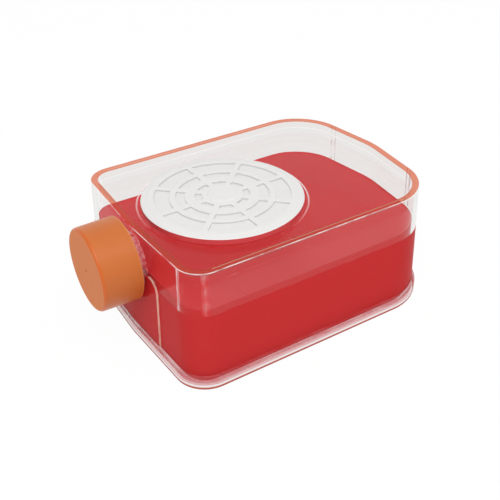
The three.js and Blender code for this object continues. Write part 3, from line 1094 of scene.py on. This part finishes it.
def build_grille():
    """Solid rings joined by spokes: what lies between them is the arc windows."""
    v = vent_sizes()
    crown, edge = GRILLE_HIGH[2], 0.3 * MM
    under, top = MEMBRANE_HIGH[2] + 0.3 * MM, crown - 0.4 * MM
    low, shoulder = GRILLE_LOW[2], top - v.bevel_height
    hub_r, inner, wall, flat = 9.4 * MM, 30.6 * MM, GRILLE_R - v.skirt, GRILLE_R - v.bevel
    profile = [(inner, under), (wall, under), (wall, low), (GRILLE_R, low), (GRILLE_R, shoulder)]
    profile += [(GRILLE_R - 0.25 * MM, shoulder + 0.25 * MM)]
    profile += [(GRILLE_R - 1.5 * MM, shoulder + 0.45 * MM), (flat + 0.5 * MM, top - 0.25 * MM)]
    profile += [(flat + 0.2 * MM, top - 0.08 * MM), (flat - 0.1 * MM, top)]
    profile += arc(inner + edge, top - edge, edge, 90, 180, 4)
    grille = turned_on_vent("vent_grille_white", profile, 192, closed=True)
    for k, (a, b) in enumerate(((12.2, 16.9), (20.9, 23.8))):
        combine(grille, flat_ring(f"ring_{k}", a * MM, b * MM, under, top, edge), "UNION")
    hub = [(0, under), (hub_r, under), *arc(hub_r - edge, top - edge, edge, 0, 90, 4)]
    hub += [(6.9 * MM, top), (6.6 * MM, top + 0.3 * MM), (6.2 * MM, crown), (0, crown)]
    combine(grille, turned_on_vent("hub", hub, 128), "UNION")
    for k in range(4):
        combine(grille, spoke_bar(k * math.pi / 4, under, top, edge), "UNION")
    clean_joins()

    def grille_finish(face):
        out = math.hypot(face.center.x - VENT_CENTRE[0], face.center.y)
        if out > GRILLE_R - 0.1 * MM and face.center.z < shoulder:
            return "skirt"
        return "sides" if out < inner + 0.1 * MM and abs(face.normal.z) < 0.5 else "top"

    # The skirt is painted red: painted light that stands in for the medium's red coming through the
    # thin skirt. The windows' sides are painted a greyer white: painted shade in the recesses.
    finishes = {
        "top": white_polypropylene("moulded white polypropylene", colours().white),
        "skirt": white_polypropylene("polypropylene skirt over the medium", linear("#D24246")),
        "sides": white_polypropylene("polypropylene, windows' drafted sides", linear("#D4D3D1")),
    }
    finish_piece(grille, finishes, "flask", "vent_grille", grille_finish)
    grille.visible_shadow = False
    grille.visible_glossy = False


def build_film():
    """The film is a thin disc whose edge is pressed down where it is welded to its ledge."""
    low, high = MEMBRANE_LOW[2], MEMBRANE_HIGH[2]
    rim, pressed = FILM_R - vent_sizes().seat, high - 0.25 * MM
    profile = [(0, low), (FILM_R, low), (FILM_R, pressed), (rim + 0.3 * MM, pressed)]
    profile += [(rim, high - 0.1 * MM), (rim - 0.5 * MM, high), (0, high)]
    film = turned_on_vent("vent_film", profile)
    finishes = {"film": stretched_film()}
    finish_piece(film, finishes, "flask", "vent_membrane")
    film.visible_shadow = False


def spoke_bar(turn, under, top, edge):
    """One bar across the grille, which makes two spokes."""
    middle = (*VENT_CENTRE, (under + top) / 2)
    length = 62.4 * MM
    bar = rounded_block("spoke_bar", middle, (length, vent_sizes().spoke, top - under), edge, 4)
    bpy.ops.transform.rotate(value=turn, orient_axis="Z", center_override=middle)
    tidy_mesh()
    return bar


# ---- the cap ----


def build_cap():
    """The cap: a shell with a gate mark in the middle of its face, and the thread inside it."""
    n = neck_sizes()
    face, rear = CAP_LOW[0], CAP_HIGH[0]
    bore, inside = CAP_R - n.cap_wall, face + n.cap_top
    front, edge, lip = CAP_R - 0.3 * MM, n.cap_edge, 0.5 * MM
    profile = [(0, face + 0.6 * MM), (0.45 * MM, face + 0.5 * MM), (0.9 * MM, face + 0.12 * MM)]
    profile += [(1.2 * MM, face), (front - edge, face)]
    profile += arc(front - edge, face + edge, edge, -90, 0, 8)[1:]
    profile += arc(CAP_R - lip, rear - lip, lip, 0, 90, 4)
    profile += [(bore + 0.4 * MM, rear), (bore, rear - lip), (bore, inside), (0, inside)]
    cap = turned_on_neck("screw_cap_orange", profile, 160)
    lead = MOUTH_X + THREAD_LEAD + n.pitch / 2
    combine(cap, thread("cap_thread", bore, n.thread, lead, inward=True), "UNION")
    clean_joins()

    def cap_finish(polygon):
        place = polygon.center.x
        if place < face + 0.1 * MM:
            return "blasted"
        if place > rear - lip:
            return "lip"
        return "polished" if place < face + edge * 1.1 else "side"

    hue = colours()
    orange = orange_polypropylene
    finishes = {
        # The face's paler orange is a painted sheen, the rear lip's paler line a painted highlight,
        # and the rounded front edge a deeper orange than the side.
        "side": orange("moulded orange polypropylene", hue.orange, 0.38, 0.35),
        "blasted": orange("blasted orange polypropylene", hue.cap_face_painted_sheen, 0.6, 0.1),
        "polished": orange("polished orange polypropylene", linear("#CF6526"), 0.3, 0.3),
        "lip": orange("rear lip of orange polypropylene", linear("#DE8A4C"), 0.38, 0.3),
    }
    finish_piece(cap, finishes, "cap", "screw_cap", cap_finish)


# ---- the medium ----


def build_medium():
    """The medium touches the floor and the walls, and climbs them in a thin meniscus."""
    s = box_sizes()
    low, into_wall, climb = s.floor - 0.04 * MM, 0.05 * MM, 0.9 * MM
    piece = outline_face("red_medium", low, wall_grow(low) + (into_wall - s.wall))
    step_in(wall_grow(low) - wall_grow(MEDIUM_LEVEL), MEDIUM_LEVEL - low + climb)
    for width, drop in ((0.25, 0.45), (0.45, 0.27), (0.9, 0.15), (1.5, 0.03)):
        step_in(width * MM, -drop * MM)
    close_bottom()
    tidy_mesh()
    finishes = {"medium": red_medium()}
    finish_piece(piece, finishes, "flask", "culture_medium", angle=50)


# ---- the stage ----


def build_stage():
    """A pale bench, an even sky, two soft lamps and the camera."""
    floor = start("bench", bpy.ops.mesh.primitive_plane_add, size=6, location=(0, 0, 0))
    bpy.ops.mesh.subdivide(number_cuts=3)
    bpy.ops.object.mode_set(mode="OBJECT")
    floor.data.materials.append(backdrop_paper())
    build_sky()
    add_lamp("key", place=(-0.38, -0.48, 1.0), width=0.9, watts=7.0)
    add_lamp("fill", place=(0.55, -0.62, 0.86), width=0.3, watts=1.3)
    add_camera()


def build_sky():
    """An even white sky, brighter where it is seen than where it lights."""
    world = bpy.data.worlds.new("even white sky")
    bpy.context.scene.world = world
    add = node_adder(world)
    lit = add("ShaderNodeBackground", {"Color": CLEAR, "Strength": 0.58})
    shown = add("ShaderNodeBackground", {"Color": CLEAR, "Strength": 1.0})
    mixed = add(
        "ShaderNodeMixShader",
        {0: seen_directly(add), 1: lit.outputs["Background"], 2: shown.outputs["Background"]},
    )
    add("ShaderNodeOutputWorld", {"Surface": mixed.outputs["Shader"]})


def add_lamp(name, place, width, watts):
    """A round soft lamp that points at the flask."""
    clear_selection()
    bpy.ops.object.light_add(type="AREA", location=place)
    lamp = bpy.context.object
    lamp.name = lamp.data.name = name
    lamp.data.shape = "DISK"
    lamp.data.size = width
    lamp.data.energy = watts
    aim = Vector((0, 0, 0.03)) - Vector(place)
    lamp.rotation_euler = aim.to_track_quat("-Z", "Y").to_euler()


def add_camera():
    """The camera stands off the neck corner, above the rim."""
    clear_selection()
    bpy.ops.object.camera_add()
    camera = bpy.context.object
    camera.name = camera.data.name = "camera"
    right = Vector((0.84194, -0.53942, -0.0128))
    up = Vector((0.30718, 0.45967, 0.83327))
    back = Vector((-0.4436, -0.7055, 0.55272))
    place = Vector((-0.16947, -0.26242, 0.22625))
    turn = Matrix((right, up, back)).transposed().to_4x4()
    camera.matrix_world = Matrix.Translation(place) @ turn
    camera.data.sensor_width = 36
    camera.data.lens = 56.157
    camera.data.clip_start = 0.01
    bpy.context.scene.camera = camera
    bpy.context.scene.view_settings.view_transform = "Standard"


# ---- operators and panel ----


class FLASK_OT_body(bpy.types.Operator):
    """Model the clear box with its rim, top plate, vent ring, neck and pad"""

    bl_idname = "flask.body"
    bl_label = "Flask body"

    def execute(self, context):
        build_body()
        return {"FINISHED"}


class FLASK_OT_base(bpy.types.Operator):
    """Model the clear base with its flange and locating rib"""

    bl_idname = "flask.base"
    bl_label = "Base tray"

    def execute(self, context):
        build_base()
        return {"FINISHED"}


class FLASK_OT_vent(bpy.types.Operator):
    """Model the white grille and the film under it"""

    bl_idname = "flask.vent"
    bl_label = "Vent"

    def execute(self, context):
        build_grille()
        build_film()
        return {"FINISHED"}


class FLASK_OT_cap(bpy.types.Operator):
    """Model the orange screw cap and finish its liner"""

    bl_idname = "flask.cap"
    bl_label = "Screw cap"

    def execute(self, context):
        build_cap()
        finish_node("cap_liner", closed_foam())
        return {"FINISHED"}


class FLASK_OT_medium(bpy.types.Operator):
    """Model the red medium with its meniscus"""

    bl_idname = "flask.medium"
    bl_label = "Medium"

    def execute(self, context):
        build_medium()
        return {"FINISHED"}


class FLASK_OT_stage(bpy.types.Operator):
    """Set out the bench, the light and the camera"""

    bl_idname = "flask.stage"
    bl_label = "Stage"

    def execute(self, context):
        build_stage()
        return {"FINISHED"}


class FLASK_PT_panel(bpy.types.Panel):
    """Lists what the add-on makes and its sizes"""

    bl_idname = "FLASK_PT_panel"
    bl_label = "Cell culture flask"
    bl_space_type = "VIEW_3D"
    bl_region_type = "UI"
    bl_category = "Flask"

    def draw(self, context):
        for operator in OPERATORS:
            self.layout.operator(operator.bl_idname)
        for group in GROUPS:
            held = getattr(context.scene, group)
            box = self.layout.box()
            for key in held.__annotations__:
                box.prop(held, key)


OPERATORS = (
    FLASK_OT_body,
    FLASK_OT_base,
    FLASK_OT_vent,
    FLASK_OT_cap,
    FLASK_OT_medium,
    FLASK_OT_stage,
)
GROUPS = {
    "flask_box": FlaskBoxSizes,
    "flask_vent": FlaskVentSizes,
    "flask_neck": FlaskNeckSizes,
    "flask_colours": FlaskColours,
}


def register():
    for item in (*GROUPS.values(), *OPERATORS, FLASK_PT_panel):
        bpy.utils.register_class(item)
    for name, group in GROUPS.items():
        setattr(bpy.types.Scene, name, bpy.props.PointerProperty(type=group))


def unregister():
    for name in GROUPS:
        delattr(bpy.types.Scene, name)
    for item in (FLASK_PT_panel, *reversed(OPERATORS), *reversed(GROUPS.values())):
        bpy.utils.unregister_class(item)


def main():
    register()
    bpy.ops.flask.body()
    bpy.ops.flask.base()
    bpy.ops.flask.vent()
    bpy.ops.flask.cap()
    bpy.ops.flask.medium()
    bpy.ops.flask.stage()


if __name__ == "__main__":
    main()
